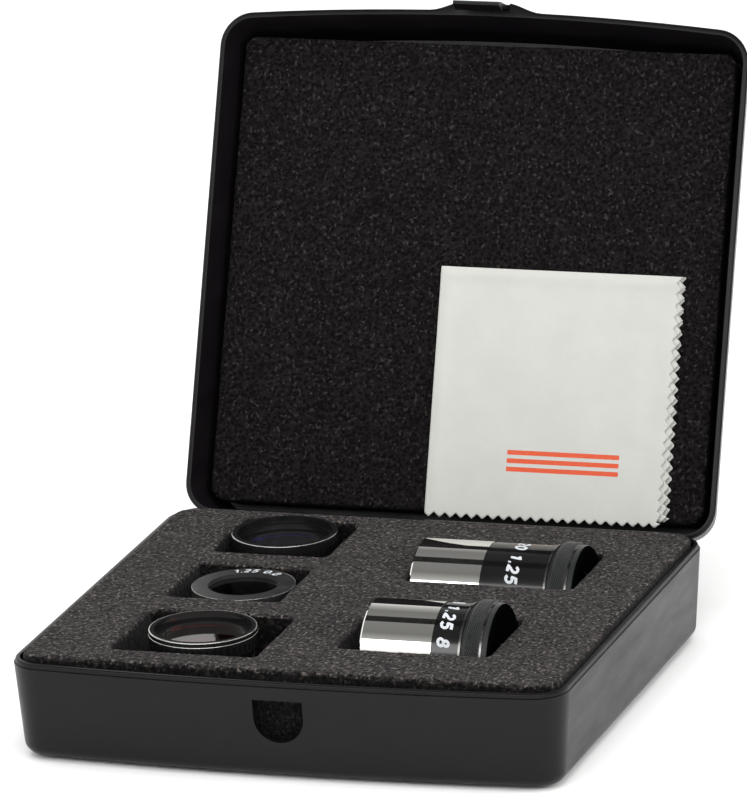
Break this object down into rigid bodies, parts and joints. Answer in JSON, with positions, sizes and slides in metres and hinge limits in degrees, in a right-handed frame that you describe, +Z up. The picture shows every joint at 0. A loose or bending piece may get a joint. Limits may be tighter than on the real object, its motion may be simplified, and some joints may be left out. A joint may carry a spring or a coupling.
{
  "type": "telescope eyepiece and filter kit",
  "caption": "Hinged foam-lined plastic case holding telescope eyepieces, threaded colour filters and a folded lens cloth, with the lid open.",
  "frame": {"origin": "centre of the base's underside, level with the feet", "axes": "+Z up, +Y towards the hinge, +X to the right seen from the front, along the eyepieces from nose to eyecup"},
  "size_m": [0.1648, 0.2363, 0.1743],
  "materials": {
    "case_plastic": "fine textured moulded polypropylene",
    "foam": "open-cell polyurethane foam",
    "lid_foam": "open-cell polyurethane foam",
    "steel": "plain steel",
    "cloth": "brushed microfibre",
    "chrome": "polished chrome on brass",
    "black_anodised": "black anodised, satin",
    "label_black": "gloss black with white marks",
    "bright_trim": "polished",
    "rubber": "moulded rubber",
    "optical_glass": "coated optical glass",
    "blue_glass": "coloured glass",
    "moon_glass": "neutral grey glass",
    "red_glass": "coloured glass"
  },
  "bodies": {
    "base": {"base_shell": "case_plastic", "base_foam": "foam", "foam_floor": "foam", "filter_pads": "foam", "hinge_pins": "steel"},
    "lid": {"lid_shell": "case_plastic", "lid_foam": "lid_foam"},
    "latch": {"latch_tongue": "case_plastic"},
    "cloth": {"lens_cloth": "cloth"},
    "long_eyepiece": {"long_barrel": "chrome", "long_body": "label_black", "long_trim_ring": "bright_trim", "long_grip_ring": "rubber", "long_top_ring": "bright_trim", "long_eyecup": "rubber", "long_field_stop": "black_anodised", "long_eye_flint": "optical_glass", "long_eye_crown": "optical_glass", "long_lens_spacer": "black_anodised", "long_field_crown": "optical_glass", "long_field_flint": "optical_glass", "long_lock_ring": "black_anodised"},
    "short_eyepiece": {"short_barrel": "chrome", "short_body": "label_black", "short_trim_ring": "bright_trim", "short_grip_ring": "rubber", "short_top_ring": "bright_trim", "short_eyecup": "rubber", "short_field_stop": "black_anodised", "short_eye_flint": "optical_glass", "short_eye_crown": "optical_glass", "short_lens_spacer": "black_anodised", "short_field_crown": "optical_glass", "short_field_flint": "optical_glass", "short_lock_ring": "black_anodised"},
    "blue_filter": {"blue_filter_ring": "black_anodised", "blue_filter_glass": "blue_glass", "blue_filter_lock_ring": "black_anodised"},
    "moon_filter": {"moon_filter_ring": "black_anodised", "moon_filter_glass": "moon_glass", "moon_filter_lock_ring": "black_anodised"},
    "red_filter": {"red_filter_ring": "black_anodised", "red_filter_glass": "red_glass", "red_filter_lock_ring": "black_anodised"}
  },
  "joints": [
    {"name": "lid_hinge", "type": "hinge", "parent": "base", "child": "lid", "pos_m": [0, 0.0771, 0.0261], "axis": [-1, 0, 0], "range_deg": [-112.3, 0]},
    {"name": "latch_flex", "type": "hinge", "parent": "lid", "child": "latch", "pos_m": [0, 0.1419, 0.16959], "axis": [-1, 0, 0], "range_deg": [0, 12], "stiffness_Nm_per_rad": 0.05},
    {"name": "cloth_lift", "type": "slide", "parent": "lid", "child": "cloth", "axis": [0, -0.9252, 0.3795], "range_m": [0, 0.025]},
    {"name": "long_eyepiece_lift", "type": "slide", "parent": "base", "child": "long_eyepiece", "axis": [0, 0, 1], "range_m": [0, 0.06]},
    {"name": "short_eyepiece_lift", "type": "slide", "parent": "base", "child": "short_eyepiece", "axis": [0, 0, 1], "range_m": [0, 0.06]},
    {"name": "blue_filter_lift", "type": "slide", "parent": "base", "child": "blue_filter", "axis": [0, 0, 1], "range_m": [0, 0.045]},
    {"name": "moon_filter_lift", "type": "slide", "parent": "base", "child": "moon_filter", "axis": [0, 0, 1], "range_m": [0, 0.045]},
    {"name": "red_filter_lift", "type": "slide", "parent": "base", "child": "red_filter", "axis": [0, 0, 1], "range_m": [0, 0.045]}
  ]
}
